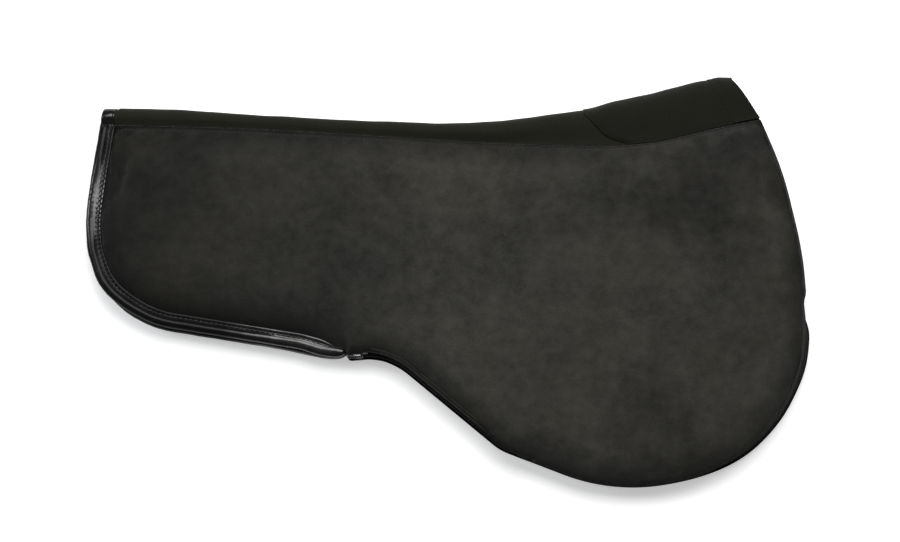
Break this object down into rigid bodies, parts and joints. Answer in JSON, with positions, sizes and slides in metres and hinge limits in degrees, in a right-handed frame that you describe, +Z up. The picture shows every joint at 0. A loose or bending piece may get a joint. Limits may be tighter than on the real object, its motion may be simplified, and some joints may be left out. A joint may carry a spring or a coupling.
{
  "type": "half pad",
  "caption": "Horse half pad for under a saddle: suede covers over foam, mesh spine, leather-bound rear, closed along its spine.",
  "frame": {"origin": "on the ground under the middle of the part's box, as it lies closed on its left side", "axes": "+X towards the front of the pad (the horse's neck), +Y towards its spine, +Z up from the left half to the right half"},
  "size_m": [0.5985, 0.344, 0.034],
  "materials": {
    "suede": "napped faux suede, soft mottling",
    "leather": "smooth, glossy, lightly creased",
    "mesh": "spacer mesh with small open cells",
    "lining": "soft knit",
    "foam": "open-cell foam, matt",
    "tape": "woven zip tape",
    "teeth": "moulded zip teeth",
    "metal": "dark plated, polished"
  },
  "bodies": {
    "left_half": {"left_outer_cover": "suede", "left_foam_insert": "foam", "left_lining": "lining", "left_rear_binding": "leather", "left_zip_tape_outer": "tape", "left_zip_tape_inner": "tape", "left_zip_teeth_outer": "teeth", "left_zip_teeth_inner": "teeth", "left_zip_top_stop_outer": "metal", "left_zip_top_stop_inner": "metal", "left_zip_bottom_stop": "metal", "spine_mesh": "mesh", "withers_panel": "mesh", "withers_front_hem": "mesh", "spine_rear_binding": "leather"},
    "right_half": {"right_outer_cover": "suede", "right_foam_insert": "foam", "right_lining": "lining", "right_rear_binding": "leather", "right_zip_tape_outer": "tape", "right_zip_tape_inner": "tape", "right_zip_teeth_outer": "teeth", "right_zip_teeth_inner": "teeth", "right_zip_top_stop_outer": "metal", "right_zip_top_stop_inner": "metal", "right_zip_bottom_stop": "metal"},
    "left_slider": {"left_zip_slider": "metal"},
    "left_pull": {"left_zip_pull": "metal"},
    "right_slider": {"right_zip_slider": "metal"},
    "right_pull": {"right_zip_pull": "metal"}
  },
  "joints": [
    {"name": "spine_fold", "type": "hinge", "parent": "left_half", "child": "right_half", "pos_m": [-0.01123, 0.14586, 0.017], "axis": [-0.9996, -0.0291, 0], "range_deg": [0, 180], "deforming": ["spine_mesh", "withers_panel", "withers_front_hem", "spine_rear_binding"]},
    {"name": "left_slider_travel", "type": "hinge", "parent": "left_half", "child": "left_slider", "pos_m": [-0.06722, -0.12658, 0.008], "axis": [0, 0, -1], "range_deg": [0, 33]},
    {"name": "left_pull_swing", "type": "hinge", "parent": "left_slider", "child": "left_pull", "pos_m": [-0.06772, -0.06588, 0.008], "axis": [0, 0, 1], "range_deg": [0, 175]},
    {"name": "right_slider_travel", "type": "hinge", "parent": "right_half", "child": "right_slider", "pos_m": [-0.06722, -0.12658, 0.026], "axis": [0, 0, -1], "range_deg": [0, 33]},
    {"name": "right_pull_swing", "type": "hinge", "parent": "right_slider", "child": "right_pull", "pos_m": [-0.06772, -0.06588, 0.026], "axis": [0, 0, 1], "range_deg": [0, 175]}
  ]
}
